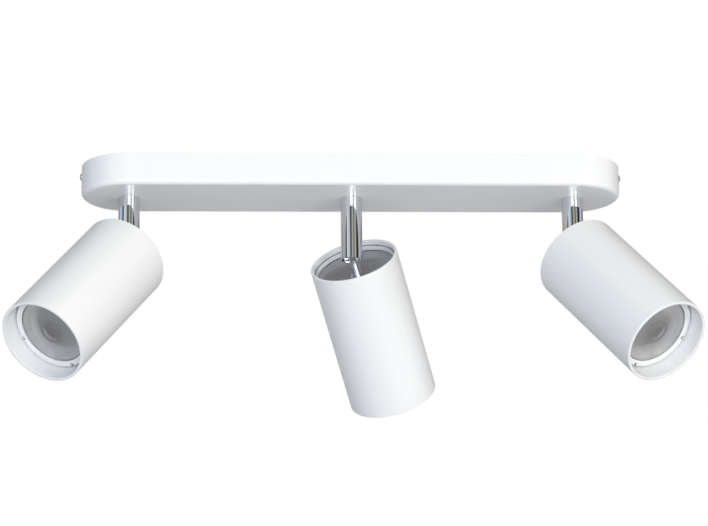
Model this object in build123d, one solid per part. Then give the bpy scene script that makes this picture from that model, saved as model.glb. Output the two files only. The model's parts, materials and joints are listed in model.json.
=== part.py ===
from build123d import *
import math
import os

# Three-lamp ceiling bar light. Millimetres, +Z up. The origin is the centre of the
# mounting face, which lies on the ceiling, so the whole fixture hangs below Z = 0.

cut_past = 1.0               # how far each cut runs past the faces that it goes through

# ---- canopy -------------------------------------------------------------------------
canopy_length = 340.0
canopy_width = 60.0
canopy_height = 20.0
canopy_wall = 1.2
canopy_edge_radius = 3.2
stem_inset = 30.0            # from each end of the canopy to the outer stems

# ---- mounting bracket inside the canopy ----------------------------------------------
bracket_width = 22.0
bracket_thickness = 1.5
bracket_corner = 1.5
bracket_shoulder = 9.0       # from the bracket's end back to where it is full width
tab_width = 10.0
tab_drop = 11.0
tab_gap = 0.35               # between the tab's outer edges and the curved end wall
ceiling_slot_spacing = 140.0
ceiling_slot_length = 12.0
ceiling_slot_radius = 2.25
cable_entry_x = 100.0
cable_entry_radius = 6.0
earth_tab_x = 56.0
earth_tab_width = 6.3
earth_tab_drop = 9.5

# ---- side screws ----------------------------------------------------------------------
side_screw_z = -6.3
side_screw_radius = 2.0
side_screw_length = 7.0
side_head_radius = 2.7
side_head_height = 1.2
side_recess_width = 0.8
side_recess_depth = 0.6
side_recess_share = 0.6      # of the screw head's radius, from the middle to a slot's end
screw_clearance = 0.2

# ---- terminal block -------------------------------------------------------------------
block_x = 35.0
block_length = 20.0
block_width = 26.0
block_height = 13.0
block_corner = 1.5
peg_radius = 2.0
peg_spacing = 12.0
pole_pitch = 8.0
sleeve_radius = 2.6
sleeve_bore = 2.0
sleeve_length = 16.0
sleeve_wall_gap = 0.05
terminal_screw_radius = 1.5
terminal_screw_length = 4.0
terminal_screw_spacing = 9.0
terminal_access_radius = 2.1
terminal_slot_width = 0.5
terminal_slot_depth = 0.8

# ---- leads ----------------------------------------------------------------------------
lead_radius = 0.6
lead_level = -6.0            # height of the middle lead of each stack
lead_stack = 1.3             # height from one lead of a stack to the next
lead_half_gap = 0.65         # from a lamp's axis to each of its two leads
lead_mouth_half_gap = 1.5    # the same at the nipple's mouth, where they spread
lead_approach = 12.0         # how far before a stem its leads turn in towards it
lead_end_gap = 0.7           # from the tilt axis to where the leads of each side stop
lead_beside_y = 20.0         # distance from the centre line of the leads that turn back
lead_long_approach = 20.0    # how far before their stem those leads turn in towards it
lead_turn_back = 10.0        # how far past the terminal block they turn
lead_insert = 4.0            # how far the leads reach into the terminal block
receptacle_wall = 0.8

# ---- stems ----------------------------------------------------------------------------
stem_radius = 6.7
stem_length = 40.6
stem_bore = 5.9
stem_rim_chamfer = 0.2
nipple_radius = 5.0
nipple_bore = 3.4
nipple_proud = 1.2           # above the locknut
nipple_engagement = 11.0
thread_runout = 1.0          # of the stem's thread past the nipple's end
nipple_running_gap = 0.08
pan_gap = 0.1                # between the canopy's floor and what turns on it
locknut_flats = 14.0
locknut_thickness = 3.0

# ---- swivel ---------------------------------------------------------------------------
pivot_above_rim = 4.5        # from the stem's open end up to the tilt axis
post_radius = 2.7
knuckle_step = 0.3           # from the post's side out to the knuckle's
ear_gap = 2.7
post_bore = 1.5
spigot_radius = 2.4
spigot_length = 6.0
fork_length = 12.6
fork_rim_gap = 2.1           # from the stem's open end up to the fork's end
fork_side_gap = 0.15
fork_back_gap = 0.3
fork_bore = 2.6
pin_radius = 1.5
pin_running_gap = 0.05
pin_ear_gap = 0.1            # from the gap between the ears to the pins' inner ends
pin_end_gap = 0.3
slot_side_gap = 0.3
thread_gap = 0.02

# ---- lamp heads -----------------------------------------------------------------------
head_radius = 28.0
head_length = 99.0
head_wall = 1.8
head_rim_radius = 0.5
rim_from_pivot = 4.85        # along the head's axis from the tilt axis to the rear rim
cup_rim_depth = 2.9          # rear rim down to the edge of the back plate's flange
plate_depth = 6.2            # rear rim down to the back plate
plate_thickness = 1.0
plate_bend_radius = 1.2
post_nut_flats = 8.0
post_nut_thickness = 2.7

# ---- lampholder and its bracket -------------------------------------------------------
holder_bracket_span = 31.0
holder_bracket_width = 12.0
holder_bracket_thickness = 1.0
holder_bracket_tab = 8.0
holder_length = 31.0
holder_width = 16.0
holder_height = 16.0
holder_screw_spacing = 23.0
holder_screw_radius = 1.5
holder_screw_length = 16.0
holder_screw_head_radius = 2.7
holder_screw_head_height = 2.0
holder_counterbore_depth = 4.0
holder_edge_radius = 1.0
holder_screw_slot_width = 0.8
holder_screw_slot_depth = 0.9
pin_pocket_length = 9.0
pin_pocket_depth = 8.0
pin_pocket_gap = 0.25
lead_hole_offset = 4.0
lead_hole_depth = 4.0
lead_stop = 1.0              # from the leads' ends to the bottom of their holes
lead_straight = 3.0          # past the post's end before the leads spread
lead_run_in = 2.7            # the straight stretch into the lampholder
lead_hole_gap = 0.1

# ---- lamp: two-pin twist-lock reflector lamp, 50 mm across ------------------------------
lamp_face_depth = 12.0       # front rim of the head back to the lamp's face
lamp_length = 54.0
lamp_rim_radius = 24.9
lamp_rim_height = 4.0
lamp_rim_bore = 22.0
lamp_neck_radius = 12.2
lamp_neck_height = 8.0
lamp_wall = 1.4
lamp_pin_spacing = 10.0
lamp_pin_radius = 1.5
lamp_pin_head_radius = 2.5
lamp_pin_length = 6.5
lamp_pin_head_height = 2.8
lamp_seat_gap = 0.15
bezel_radius = 25.35
bezel_height = 3.85
bezel_lip = 0.75
bezel_bore = 21.75
bezel_edge_radius = 0.35
bezel_notch_width = 2.6
bezel_notch_depth = 0.8
bezel_notch_height = 1.8
lens_radius = 22.6
lens_thickness = 2.9
lens_gap = 0.05

# ---- how the three heads are turned, in degrees -----------------------------------------
# heading: which way the light goes, from +X towards +Y. tilt: from straight down.
HEADINGS = {"left": 228.2, "middle": 66.5, "right": -49.7}
TILTS = {"left": 45.5, "middle": 43.5, "right": 45.7}

# ---- worked-out places ------------------------------------------------------------------
stem_x = canopy_length / 2 - stem_inset
STEM_X = {"left": -stem_x, "middle": 0.0, "right": stem_x}
floor_z = -canopy_height + canopy_wall
stem_top_z = -canopy_height - pan_gap
nipple_top_z = floor_z + pan_gap + locknut_thickness + nipple_proud
stem_end_z = stem_top_z - stem_length
pivot_z = stem_end_z + pivot_above_rim
knuckle_radius = post_radius + knuckle_step
knuckle_width = 2 * post_radius
plate_face = rim_from_pivot + plate_depth
bracket_face = plate_face + plate_thickness
nut_face = bracket_face + holder_bracket_thickness
head_bore = head_radius - head_wall
front_rim = rim_from_pivot + head_length
lamp_face = front_rim - lamp_face_depth
lamp_seat = lamp_face - bezel_height
lamp_base = lamp_face - lamp_length + lamp_pin_length
holder_front = lamp_base - lamp_seat_gap
holder_back = holder_front - holder_height
end_radius = canopy_width / 2
bracket_end = (
    canopy_length / 2 - end_radius
    + math.sqrt((end_radius - canopy_wall) ** 2 - (tab_width / 2) ** 2) - tab_gap
)
lead_levels = {"left": lead_level + lead_stack, "middle": lead_level, "right": lead_level - lead_stack}

UP = (Align.CENTER, Align.CENTER, Align.MIN)


def rod(radius, low, high):
    """A cylinder on the Z axis between two heights."""
    return Pos(0, 0, low) * Cylinder(radius, high - low, align=UP)


def cross_rod(radius, low, high):
    """A cylinder on the Y axis between two places."""
    return Rot(X=-90) * rod(radius, low, high)


def axle(radius, low, high):
    """A cylinder on the X axis between two places."""
    return Rot(Y=90) * rod(radius, low, high)


def block(x0, x1, y0, y1, z0, z1):
    """A box between two corners."""
    return Pos(x0, y0, z0) * Box(x1 - x0, y1 - y0, z1 - z0, align=(Align.MIN,) * 3)


def hexagon_nut(flats, bore, low, high):
    """A hexagon nut on the Z axis."""
    hexagon = RegularPolygon(flats / 2, 6, major_radius=False)
    return Pos(0, 0, low) * extrude(hexagon, high - low) - rod(bore, low - cut_past, high + cut_past)


def lead(points):
    """A round lead along straight runs joined by arcs as large as the runs allow."""
    turns = [Vector(*b) - Vector(*a) for a, b in zip(points, points[1:])]
    radii = []
    for before, after in zip(turns, turns[1:]):
        half_turn = math.radians(before.get_angle(after)) / 2
        radii.append(0.45 * min(before.length, after.length) / math.tan(half_turn))
    path = FilletPolyline(*points, radius=radii) if radii else Line(*points)
    section = Plane(origin=path @ 0, z_dir=path % 0) * Circle(lead_radius)
    return sweep(section, path=path)


def at_stem(side):
    """Stem frame: on the stem's axis at ceiling height, +X the way the head tilts."""
    heading = math.radians(HEADINGS[side])
    x_dir = (math.cos(heading), math.sin(heading), 0)
    return Plane(origin=(STEM_X[side], 0, 0), x_dir=x_dir, z_dir=(0, 0, 1)).location


def at_head(side):
    """Head frame: on the tilt axis, +X along that axis, +Z the way the light goes."""
    heading = math.radians(HEADINGS[side])
    tilt = math.radians(TILTS[side])
    across = math.sin(tilt)
    light = (across * math.cos(heading), across * math.sin(heading), -math.cos(tilt))
    hinge = (-math.sin(heading), math.cos(heading), 0)
    return Plane(origin=(STEM_X[side], 0, pivot_z), x_dir=hinge, z_dir=light).location


# ---- canopy pieces ----------------------------------------------------------------------


def make_canopy_housing():
    """Deep-drawn open-topped pan with a hole for each stem and each side screw."""
    shell = Pos(0, 0, -canopy_height) * extrude(SlotOverall(canopy_length, canopy_width), canopy_height)
    shell = fillet(shell.edges().group_by(Axis.Z)[0], canopy_edge_radius)
    inside_length = canopy_length - 2 * canopy_wall
    inside_width = canopy_width - 2 * canopy_wall
    inside = Pos(0, 0, floor_z) * extrude(SlotOverall(inside_length, inside_width), canopy_height)
    inside = fillet(inside.edges().group_by(Axis.Z)[0], canopy_edge_radius - canopy_wall)
    shell -= inside
    for x in STEM_X.values():
        hole = rod(nipple_radius + nipple_running_gap, -canopy_height - cut_past, floor_z + cut_past)
        shell -= Pos(x, 0, 0) * hole
    reach = canopy_length / 2 + cut_past
    shell -= Pos(0, 0, side_screw_z) * axle(side_screw_radius + screw_clearance, -reach, reach)
    return shell


def make_ceiling_bracket():
    """Steel strip screwed to the ceiling, with an end tab for each side screw."""
    shoulder = bracket_end - bracket_shoulder
    half = bracket_width / 2
    strip = block(-shoulder, shoulder, -half, half, -bracket_thickness, 0)
    strip += block(-bracket_end, bracket_end, -tab_width / 2, tab_width / 2, -bracket_thickness, 0)
    for end in (-bracket_end, bracket_end - bracket_thickness):
        strip += block(end, end + bracket_thickness, -tab_width / 2, tab_width / 2, -tab_drop, 0)
    strip += block(
        earth_tab_x, earth_tab_x + bracket_thickness,
        -earth_tab_width / 2, earth_tab_width / 2, -earth_tab_drop, 0,
    )
    upright = strip.edges().filter_by(Axis.Z)
    corners = upright.filter_by(lambda edge: math.isclose(abs(edge.center().Y), half))
    strip = fillet(corners, bracket_corner)
    for x in (-ceiling_slot_spacing / 2, ceiling_slot_spacing / 2):
        slot = SlotOverall(ceiling_slot_length, 2 * ceiling_slot_radius)
        drop = Pos(x, 0, -bracket_thickness - cut_past)
        strip -= drop * extrude(slot, bracket_thickness + 2 * cut_past)
    strip -= Pos(cable_entry_x, 0, 0) * rod(cable_entry_radius, -bracket_thickness - cut_past, cut_past)
    for x in (block_x - peg_spacing / 2, block_x + peg_spacing / 2):
        strip -= Pos(x, 0, 0) * rod(peg_radius + thread_gap, -bracket_thickness - cut_past, cut_past)
    reach = bracket_end + cut_past
    strip -= Pos(0, 0, side_screw_z) * axle(side_screw_radius + thread_gap, -reach, reach)
    return strip


def make_side_screws():
    """One dome-headed screw through each end wall into the bracket's tab."""
    seat = canopy_length / 2
    dome_radius = (side_head_radius**2 + side_head_height**2) / (2 * side_head_height)
    top = seat + side_head_height
    half_angle = math.asin(side_head_radius / dome_radius) / 2
    middle = (top - dome_radius * (1 - math.cos(half_angle)), dome_radius * math.sin(half_angle))
    outline = ThreePointArc((seat, side_head_radius), middle, (top, 0))
    outline += Polyline((top, 0), (seat, 0), (seat, side_head_radius))
    screw = revolve(make_face(outline), Axis.X)
    screw += axle(side_screw_radius, seat - side_screw_length, seat)
    arm = side_head_radius * side_recess_share
    half = side_recess_width / 2
    screw -= block(top - side_recess_depth, top + cut_past, -arm, arm, -half, half)
    screw -= block(top - side_recess_depth, top + cut_past, -half, half, -arm, arm)
    screw = Pos(0, 0, side_screw_z) * screw
    return [screw, screw.mirror(Plane.YZ)]


def pole_places():
    """The distance of each of the three poles from the centre line."""
    return (-pole_pitch, 0.0, pole_pitch)


def terminal_screw_places():
    """Both screws of every pole."""
    half = terminal_screw_spacing / 2
    return [(x, y) for y in pole_places() for x in (block_x - half, block_x + half)]


def make_terminal_block():
    """Moulded three-pole block that pegs into the bracket, screws facing down."""
    top = -bracket_thickness
    half = block_width / 2
    ends = (block_x - block_length / 2, block_x + block_length / 2)
    body = block(*ends, -half, half, top - block_height, top)
    body = fillet(body.edges().filter_by(Axis.Z), block_corner)
    for x in (block_x - peg_spacing / 2, block_x + peg_spacing / 2):
        body += Pos(x, 0, 0) * rod(peg_radius, top, 0)
    for y in pole_places():
        tunnel = axle(sleeve_radius + sleeve_wall_gap, ends[0] - cut_past, ends[1] + cut_past)
        body -= Pos(0, y, lead_level) * tunnel
    for x, y in terminal_screw_places():
        body -= Pos(x, y, 0) * rod(terminal_access_radius, top - block_height - cut_past, lead_level)
    return body


def make_terminal_sleeves():
    """A brass tube in each pole, drilled for its two screws."""
    sleeves = []
    for y in pole_places():
        ends = (block_x - sleeve_length / 2, block_x + sleeve_length / 2)
        sleeve = Pos(0, y, lead_level) * (axle(sleeve_radius, *ends) - axle(sleeve_bore, *ends))
        for x, screw_y in terminal_screw_places():
            if screw_y == y:
                drill = rod(terminal_screw_radius + thread_gap, lead_level - 2 * sleeve_radius, lead_level)
                sleeve -= Pos(x, y, 0) * drill
        sleeves.append(sleeve)
    return sleeves


def make_terminal_screws():
    """The slotted clamp screws, two to a pole."""
    screws = []
    for x, y in terminal_screw_places():
        tip = lead_level - sleeve_bore
        low = tip - terminal_screw_length
        screw = rod(terminal_screw_radius, low, tip)
        half = terminal_slot_width / 2
        reach = terminal_screw_radius + cut_past
        screw -= block(-half, half, -reach, reach, low - cut_past, low + terminal_slot_depth)
        screws.append(Pos(x, y, 0) * screw)
    return screws


def lamp_lead_end(side, conductor):
    """Where a lead reaches the mouth of a lamp's nipple, from the centre line outwards."""
    heading = math.radians(HEADINGS[side])
    hinge_x = -math.sin(heading)
    hinge_y = math.cos(heading)
    turn = conductor if hinge_y >= 0 else -conductor
    x = STEM_X[side] + turn * lead_mouth_half_gap * hinge_x
    return x, turn * lead_mouth_half_gap * hinge_y


def make_canopy_leads(conductor):
    """The three leads of one pole, live on the +Y side or neutral on the -Y side."""
    pole_y = conductor * pole_pitch
    start_x = block_x - block_length / 2 + lead_insert
    out_x = block_x - block_length / 2 - lead_turn_back
    beside_y = conductor * lead_beside_y
    leads = []
    for side, level in lead_levels.items():
        end_x, end_y = lamp_lead_end(side, conductor)
        if side == "right":
            route = [(out_x, pole_y), (out_x, beside_y), (end_x - lead_long_approach, beside_y)]
        else:
            route = [(end_x + lead_approach, pole_y)]
        points = [(start_x, pole_y, level)]
        points += [(x, y, level) for x, y in route]
        points += [(end_x, end_y, level), (end_x, end_y, nipple_top_z + pin_end_gap)]
        leads.append(lead(points))
    return leads


def make_earth_lead():
    """The earth lead from the middle pole to the push-on receptacle on the earth tab."""
    tab_half = earth_tab_width / 2
    face = earth_tab_x - receptacle_wall
    receptacle = block(
        face, earth_tab_x + bracket_thickness + receptacle_wall,
        -tab_half - receptacle_wall, tab_half + receptacle_wall,
        -earth_tab_drop - receptacle_wall, lead_level + sleeve_radius,
    )
    receptacle -= block(
        earth_tab_x - thread_gap, earth_tab_x + bracket_thickness + thread_gap,
        -tab_half - thread_gap, tab_half + thread_gap, -earth_tab_drop - thread_gap, 0,
    )
    start_x = block_x + block_length / 2 - lead_insert
    return [lead([(start_x, 0, lead_level), (face, 0, lead_level)]), receptacle]


# ---- stem pieces, each in the stem frame ---------------------------------------------------


def make_stem_tube():
    """Turned tube: threaded at the top, open below, slotted on the side it tilts to."""
    tube = rod(stem_radius, stem_end_z, stem_top_z)
    tube -= rod(nipple_radius + thread_gap, stem_end_z, stem_top_z)
    tube -= rod(stem_bore, stem_end_z, stem_top_z - nipple_engagement - thread_runout)
    tube = chamfer(tube.edges().group_by(Axis.Z)[0], stem_rim_chamfer)
    half = post_radius + slot_side_gap
    reach = stem_radius + cut_past
    tube -= block(0, reach, -half, half, stem_end_z - cut_past, pivot_z)
    tube -= Pos(0, 0, pivot_z) * axle(half, 0, reach)
    return tube


def make_stem_nipple():
    """Hollow threaded nipple from the stem up through the canopy's floor."""
    low = stem_top_z - nipple_engagement
    return rod(nipple_radius, low, nipple_top_z) - rod(nipple_bore, low, nipple_top_z)


def make_locknut():
    """Nut on the nipple, above the canopy's floor."""
    low = floor_z + pan_gap
    return hexagon_nut(locknut_flats, nipple_radius + thread_gap, low, low + locknut_thickness)


def make_swivel_fork():
    """Insert pressed into the stem: two arms either side of the knuckle, closed behind."""
    low = stem_end_z + fork_rim_gap
    slot_top = pivot_z + knuckle_radius + fork_back_gap
    half = knuckle_width / 2 + fork_side_gap
    fork = rod(stem_bore, low, low + fork_length)
    back = -knuckle_radius - fork_back_gap
    fork -= block(back, stem_bore + cut_past, -half, half, low - cut_past, slot_top)
    fork -= rod(fork_bore, slot_top - cut_past, low + fork_length + cut_past)
    fork -= Pos(0, 0, pivot_z) * cross_rod(pin_radius + thread_gap, -stem_bore, stem_bore)
    return fork


def make_pivot_pins():
    """Two short pins, one in each arm of the fork, with the leads passing between them."""
    outer = math.sqrt(stem_bore**2 - pin_radius**2) - pin_end_gap
    pin = Pos(0, 0, pivot_z) * cross_rod(pin_radius, ear_gap / 2 + pin_ear_gap, outer)
    return [pin, pin.mirror(Plane.XZ)]


def make_stem_leads():
    """Both leads, straight down the stem to just above the tilt axis."""
    low = pivot_z + lead_end_gap
    high = nipple_top_z
    return [Pos(0, y, 0) * rod(lead_radius, low, high) for y in (-lead_half_gap, lead_half_gap)]


# ---- head pieces, each in the head frame ---------------------------------------------------


def make_head_tube():
    """Open-ended cylinder with softened rims."""
    tube = rod(head_radius, rim_from_pivot, front_rim) - rod(head_bore, rim_from_pivot, front_rim)
    rims = tube.edges().filter_by(GeomType.CIRCLE)
    return fillet(rims, head_rim_radius)


def make_back_plate():
    """Pressed cup, open to the rear, with a central hole for the post's spigot."""
    edge = rim_from_pivot + cup_rim_depth
    cup = rod(head_bore, edge, bracket_face)
    hollow = rod(head_bore - plate_thickness, edge - cut_past, plate_face)
    hollow = fillet(hollow.edges().group_by(Axis.Z)[-1], plate_bend_radius)
    cup = fillet(cup.edges().group_by(Axis.Z)[-1], plate_bend_radius)
    return cup - hollow - rod(spigot_radius + thread_gap, plate_face - cut_past, bracket_face + cut_past)


def make_swivel_post():
    """Hollow post: a split knuckle on the tilt axis and a threaded spigot at the plate."""
    end = plate_face + spigot_length
    post = axle(knuckle_radius, -knuckle_width / 2, knuckle_width / 2)
    post += rod(post_radius, 0, plate_face)
    post += rod(spigot_radius, plate_face, end)
    half = ear_gap / 2
    reach = knuckle_radius + cut_past
    post -= block(-half, half, -reach, reach, -reach, post_radius)
    post -= rod(post_bore, 0, end + cut_past)
    post -= axle(pin_radius + pin_running_gap, -knuckle_width, knuckle_width)
    return post


def make_post_nut():
    """Nut that clamps the plate and the lampholder bracket to the post."""
    return hexagon_nut(post_nut_flats, spigot_radius + thread_gap, nut_face, nut_face + post_nut_thickness)


def make_holder_bracket():
    """Bent strip: base under the nut, two legs, and tabs that carry the lampholder."""
    half = holder_bracket_span / 2
    side = holder_bracket_width / 2
    thick = holder_bracket_thickness
    strip = block(-half, half, -side, side, bracket_face, nut_face)
    for sign in (-1, 1):
        leg = block(half - thick, half, -side, side, bracket_face, holder_back)
        tab = block(half - holder_bracket_tab, half, -side, side, holder_back - thick, holder_back)
        arm = leg + tab
        strip += arm if sign > 0 else arm.mirror(Plane.YZ)
        screw_x = sign * holder_screw_spacing / 2
        low = holder_back - thick - cut_past
        strip -= Pos(screw_x, 0, 0) * rod(holder_screw_radius + thread_gap, low, holder_back + cut_past)
    return strip - rod(spigot_radius + thread_gap, bracket_face - cut_past, nut_face + cut_past)


def make_lampholder():
    """Ceramic twist-lock holder with two pin pockets, lead holes and recessed screws."""
    body = Pos(0, 0, holder_back) * extrude(SlotOverall(holder_length, holder_width), holder_height)
    body = fillet(body.edges().group_by(Axis.Z)[-1], holder_edge_radius)
    pocket_width = 2 * (lamp_pin_head_radius + pin_pocket_gap)
    pocket = Rot(Z=90) * SlotOverall(pin_pocket_length, pocket_width)
    low, high = holder_back - cut_past, holder_front + cut_past
    for sign in (-1, 1):
        body -= Pos(sign * lamp_pin_spacing / 2, 0, holder_front - pin_pocket_depth) * extrude(
            pocket, pin_pocket_depth + cut_past
        )
        hole = rod(lead_radius + lead_hole_gap, low, holder_back + lead_hole_depth)
        body -= Pos(sign * lead_hole_offset, 0, 0) * hole
        screw_x = sign * holder_screw_spacing / 2
        body -= Pos(screw_x, 0, 0) * rod(holder_screw_radius + thread_gap, low, high)
        seat = holder_front - holder_counterbore_depth
        body -= Pos(screw_x, 0, 0) * rod(holder_screw_head_radius + screw_clearance, seat, high)
    return body


def make_holder_screws():
    """Two cheese-head screws down through the holder into the bracket's tabs."""
    seat = holder_front - holder_counterbore_depth
    screw = rod(holder_screw_radius, seat - holder_screw_length, seat)
    top = seat + holder_screw_head_height
    screw += rod(holder_screw_head_radius, seat, top)
    reach = holder_screw_head_radius + cut_past
    half = holder_screw_slot_width / 2
    screw -= block(-reach, reach, -half, half, top - holder_screw_slot_depth, top + cut_past)
    return [Pos(sign * holder_screw_spacing / 2, 0, 0) * screw for sign in (-1, 1)]


def make_lamp_body():
    """Moulded lamp housing: hollow bell, neck and the two headed pins of its base."""
    rim = lamp_seat
    bell = rim - lamp_rim_height
    neck = lamp_base + lamp_neck_height
    top = rim + cut_past
    outside = Polyline(
        (0, lamp_base), (lamp_neck_radius, lamp_base), (lamp_neck_radius, neck),
        (lamp_rim_radius, bell), (lamp_rim_radius, rim), (0, rim), (0, lamp_base),
    )
    inside = Polyline(
        (0, neck + lamp_wall), (lamp_neck_radius - lamp_wall, neck + lamp_wall),
        (lamp_rim_bore, bell), (lamp_rim_bore, top), (0, top), (0, neck + lamp_wall),
    )
    profile = make_face(Plane.XZ * outside) - make_face(Plane.XZ * inside)
    body = revolve(profile, Axis.Z)
    for sign in (-1, 1):
        tip = lamp_base - lamp_pin_length
        pin = rod(lamp_pin_radius, tip, lamp_base + lamp_wall)
        pin += rod(lamp_pin_head_radius, tip, tip + lamp_pin_head_height)
        body += Pos(sign * lamp_pin_spacing / 2, 0, 0) * pin
    return body


def make_lamp_lens():
    """Clear disc seated in the bezel."""
    return rod(lens_radius, lamp_seat, lamp_seat + lens_thickness)


def make_lamp_bezel():
    """Snap-on ring over the lens, with four notches round its outer edge."""
    ring = rod(bezel_radius, lamp_seat, lamp_face)
    ring = fillet(ring.edges().group_by(Axis.Z)[-1], bezel_edge_radius)
    low, high = lamp_seat - cut_past, lamp_face + cut_past
    ring -= rod(bezel_bore, low, high)
    ring -= rod(lens_radius + lens_gap, low, lamp_face - bezel_lip)
    half = bezel_notch_width / 2
    notch = block(
        bezel_radius - bezel_notch_depth, bezel_radius + cut_past, -half, half,
        lamp_face - bezel_notch_height, high,
    )
    for turn in range(4):
        ring -= Rot(Z=90 * turn) * notch
    return ring


def make_head_leads():
    """Both leads from just below the tilt axis, through the post, to the lampholder."""
    leads = []
    for sign in (-1, 1):
        near = sign * lead_half_gap
        far = sign * lead_hole_offset
        spread = plate_face + spigot_length + lead_straight
        points = [
            (near, lead_end_gap), (near, spread), (far, holder_back - lead_run_in),
            (far, holder_back + lead_hole_depth - lead_stop),
        ]
        leads.append(lead([(x, 0, z) for x, z in points]))
    return leads


# ---- write every piece ----------------------------------------------------------------------

CANOPY_PIECES = {
    "canopy_housing": make_canopy_housing,
    "ceiling_bracket": make_ceiling_bracket,
    "side_screws": make_side_screws,
    "terminal_block": make_terminal_block,
    "terminal_sleeves": make_terminal_sleeves,
    "terminal_screws": make_terminal_screws,
    "live_leads": lambda: make_canopy_leads(1),
    "neutral_leads": lambda: make_canopy_leads(-1),
    "earth_lead": make_earth_lead,
}
STEM_PIECES = {
    "stem_tube": make_stem_tube,
    "stem_nipple": make_stem_nipple,
    "locknut": make_locknut,
    "swivel_fork": make_swivel_fork,
    "pivot_pins": make_pivot_pins,
    "stem_leads": make_stem_leads,
}
HEAD_PIECES = {
    "head_tube": make_head_tube,
    "back_plate": make_back_plate,
    "swivel_post": make_swivel_post,
    "post_nut": make_post_nut,
    "holder_bracket": make_holder_bracket,
    "lampholder": make_lampholder,
    "holder_screws": make_holder_screws,
    "lamp_body": make_lamp_body,
    "lamp_lens": make_lamp_lens,
    "lamp_bezel": make_lamp_bezel,
    "head_leads": make_head_leads,
}


def write(name, made, place=Location()):
    """Write one piece, or one group of like pieces, as parts/NAME.step."""
    solids = []
    for piece in made if isinstance(made, list) else [made]:
        solids += (place * piece).solids()
    shape = solids[0] if len(solids) == 1 else Compound(children=solids)
    export_step(shape, f"parts/{name}.step")


os.makedirs("parts", exist_ok=True)
for name, make in CANOPY_PIECES.items():
    write(name, make())
for pieces, place_of in ((STEM_PIECES, at_stem), (HEAD_PIECES, at_head)):
    for name, make in pieces.items():
        made = make()
        for side in STEM_X:
            write(f"{side}_{name}", made, place_of(side))
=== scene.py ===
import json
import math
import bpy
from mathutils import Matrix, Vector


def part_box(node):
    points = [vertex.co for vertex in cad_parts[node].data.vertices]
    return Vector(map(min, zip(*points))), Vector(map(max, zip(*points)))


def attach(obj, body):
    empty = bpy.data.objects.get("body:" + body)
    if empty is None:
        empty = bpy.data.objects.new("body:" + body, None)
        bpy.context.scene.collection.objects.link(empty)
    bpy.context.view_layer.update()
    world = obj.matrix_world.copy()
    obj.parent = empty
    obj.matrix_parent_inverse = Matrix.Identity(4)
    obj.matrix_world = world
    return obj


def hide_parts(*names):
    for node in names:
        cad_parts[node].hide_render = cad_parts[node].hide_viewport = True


bl_info = {
    "name": "Three-lamp ceiling bar light",
    "version": (1, 0, 0),
    "blender": (4, 5, 0),
    "location": "3D View > Sidebar > Bar Light",
    "description": "Builds the looks of a three-lamp ceiling bar light around its CAD frame",
    "category": "Object",
}

import bmesh
import bpy
from bpy.props import FloatProperty, FloatVectorProperty, IntProperty, PointerProperty, StringProperty
from mathutils import Matrix, Vector

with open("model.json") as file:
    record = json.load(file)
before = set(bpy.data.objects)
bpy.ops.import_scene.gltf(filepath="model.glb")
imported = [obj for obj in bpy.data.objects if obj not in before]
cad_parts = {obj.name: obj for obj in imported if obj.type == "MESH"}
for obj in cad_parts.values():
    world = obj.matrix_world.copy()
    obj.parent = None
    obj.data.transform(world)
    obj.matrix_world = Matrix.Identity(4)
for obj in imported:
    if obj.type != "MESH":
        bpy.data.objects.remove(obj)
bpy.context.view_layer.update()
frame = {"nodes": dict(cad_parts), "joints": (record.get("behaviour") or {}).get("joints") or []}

MM = 0.001
SIDES = ("left", "middle", "right")
ROUND_SIDES = 160  # faces round the canopy's ends, the heads and the lamps
SMOOTH_ANGLE = math.radians(32)
SHARP_TURN = math.radians(50)  # edges that turn more than this are softened
FLAT = 0.9  # a face whose normal lies this far along the axis is an end face
DEAD_FLAT = 0.9999  # and this far along leaves out the bends beside it
NEAR = 0.1 * MM  # how far from a plane its edges are looked for
WAVE_REPEAT = 2 * math.pi / 20  # a Wave texture of scale 1 repeats after this many metres
# The attribute below steers the lenses' painted reflection, darker in the middle and brighter towards
# the edge.
LENS_REACH = "reach"  # how far a lens's point is from its middle, as a share of its radius


# ---- where things are, read from the frame ---------------------------------------------


def joint(name):
    """The record's joint of that name."""
    return next(entry for entry in frame["joints"] if entry["name"] == name)


def heading_of(side):
    """Which way the light goes, seen from above, from +X towards +Y, in radians."""
    axis = joint(f"{side}_tilt")["axis"]
    return math.atan2(axis[0], -axis[1])


def tilt_of(side):
    """How far the head is turned from straight down at rest, in radians."""
    return math.radians(-joint(f"{side}_tilt")["range_deg"][0])


def stem_matrix(side):
    """From the stem's own axes, +X the way the head tilts, to the row frame."""
    x, y, _ = joint(f"{side}_pan")["pos_m"]
    return Matrix.Translation((x, y, 0)) @ Matrix.Rotation(heading_of(side), 4, "Z")


def head_matrix(side):
    """From the head's own axes, +Z the way the light goes, to the row frame."""
    heading, tilt = heading_of(side), tilt_of(side)
    level = Vector((math.cos(heading), math.sin(heading), 0))
    light = level * math.sin(tilt) + Vector((0, 0, -math.cos(tilt)))
    hinge = Vector((-math.sin(heading), math.cos(heading), 0))
    third = light.cross(hinge)
    turn = Matrix((hinge, third, light)).transposed().to_4x4()
    return Matrix.Translation(joint(f"{side}_tilt")["pos_m"]) @ turn


def span_along(node, matrix):
    """A node's lowest and highest place along the Z of a matrix, and its largest radius."""
    back = matrix.inverted()
    points = [back @ vertex.co for vertex in frame["nodes"][node].data.vertices]
    heights = [point.z for point in points]
    return min(heights), max(heights), max(point.xy.length for point in points)


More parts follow.
